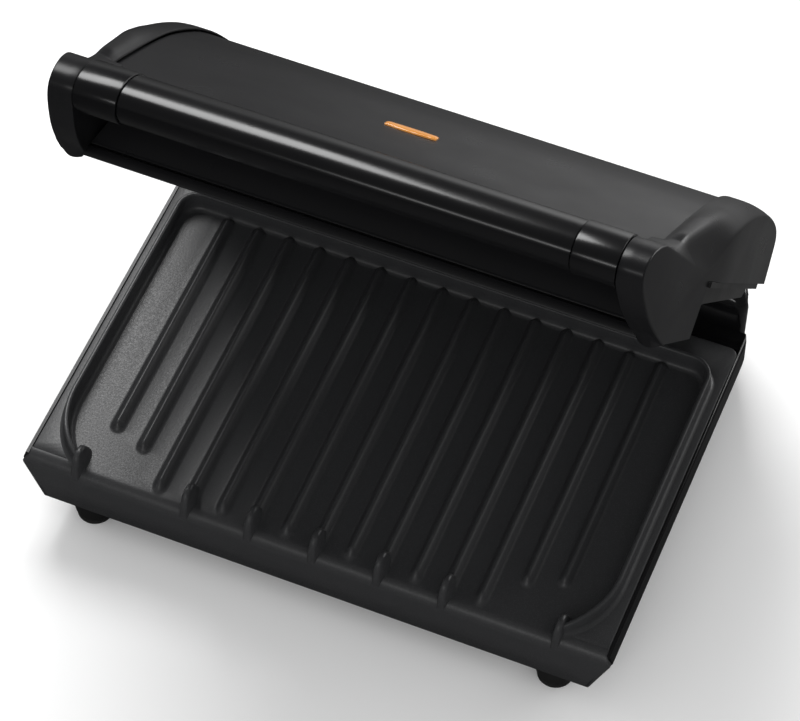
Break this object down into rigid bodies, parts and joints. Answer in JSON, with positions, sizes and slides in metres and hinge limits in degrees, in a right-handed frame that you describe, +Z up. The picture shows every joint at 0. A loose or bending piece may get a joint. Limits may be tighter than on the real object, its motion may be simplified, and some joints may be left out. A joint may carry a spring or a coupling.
{
  "type": "electric indoor grill",
  "caption": "Low countertop grill: a black tub on four feet with a ribbed, fenced plate and front lip, and a hinged lid with a ribbed plate, broad curved handle, end caps and pilot lens",
  "frame": {"origin": "middle of the footprint, on the surface that the feet stand on", "axes": "+X to the right seen from the front, +Y to the back where the hinge is, +Z up; the front lip is at -Y"},
  "size_m": [0.402, 0.32, 0.3881],
  "materials": {
    "housing_plastic": "satin moulded black",
    "tower_plastic": "glossy moulded black",
    "nonstick": "satin dark non-stick coat on a casting",
    "lid_plastic": "satin moulded charcoal",
    "handle_plastic": "semi-gloss moulded black",
    "foot_plastic": "moulded black",
    "pad_rubber": "matt",
    "screw_steel": "zinc plated",
    "rod_steel": "ground",
    "element_steel": "heat-tinted",
    "sheet_steel": "plain sheet",
    "arm_metal": "dark painted",
    "bush_plastic": "unfilled nylon",
    "block_plastic": "unfilled nylon",
    "ceramic": "unglazed",
    "wire_sleeve": "woven sleeve",
    "lens_amber": "clear amber",
    "lamp_glass": "clear"
  },
  "bodies": {
    "base": {"base_housing": "housing_plastic", "base_bottom_cover": "housing_plastic", "rear_cover": "tower_plastic", "lower_grill_plate": "nonstick", "lower_heating_element": "element_steel", "lower_element_clamps": "sheet_steel", "lower_heat_shield": "sheet_steel", "foot_front_left": "foot_plastic", "foot_front_right": "foot_plastic", "foot_rear_left": "foot_plastic", "foot_rear_right": "foot_plastic", "foot_pads": "pad_rubber", "foot_screws": "screw_steel", "base_cover_screws": "screw_steel", "lower_plate_screws": "screw_steel", "rear_cover_screws": "screw_steel", "thermostat": "ceramic", "thermal_fuse": "ceramic", "terminal_block": "ceramic", "base_wiring": "wire_sleeve", "cord_inlet": "pad_rubber"},
    "hinge_carrier": {"hinge_rod": "rod_steel", "hinge_sleeve": "handle_plastic", "slide_block_left": "block_plastic", "slide_block_right": "block_plastic", "rod_clips": "rod_steel"},
    "lid": {"lid_cover": "lid_plastic", "end_cap_left": "lid_plastic", "end_cap_right": "lid_plastic", "handle": "handle_plastic", "handle_collar_left": "handle_plastic", "handle_collar_right": "handle_plastic", "lid_front_panel": "lid_plastic", "lid_frame": "housing_plastic", "upper_grill_plate": "nonstick", "upper_heating_element": "element_steel", "upper_element_clamps": "sheet_steel", "upper_heat_shield": "sheet_steel", "indicator_lens": "lens_amber", "lamp_holder": "housing_plastic", "indicator_lamp": "lamp_glass", "hinge_arm_left": "arm_metal", "hinge_arm_right": "arm_metal", "arm_bush_left": "bush_plastic", "arm_bush_right": "bush_plastic", "hinge_arm_screws": "screw_steel", "end_cap_screws": "screw_steel", "upper_plate_screws": "screw_steel", "lid_wiring": "wire_sleeve"}
  },
  "joints": [
    {"name": "hinge_float", "type": "slide", "parent": "base", "child": "hinge_carrier", "axis": [0, 0, 1], "range_m": [0, 0.008]},
    {"name": "lid_hinge", "type": "hinge", "parent": "hinge_carrier", "child": "lid", "pos_m": [0, 0.134, 0.078], "axis": [-1, 0, 0], "range_deg": [-47.3, 48]}
  ]
}
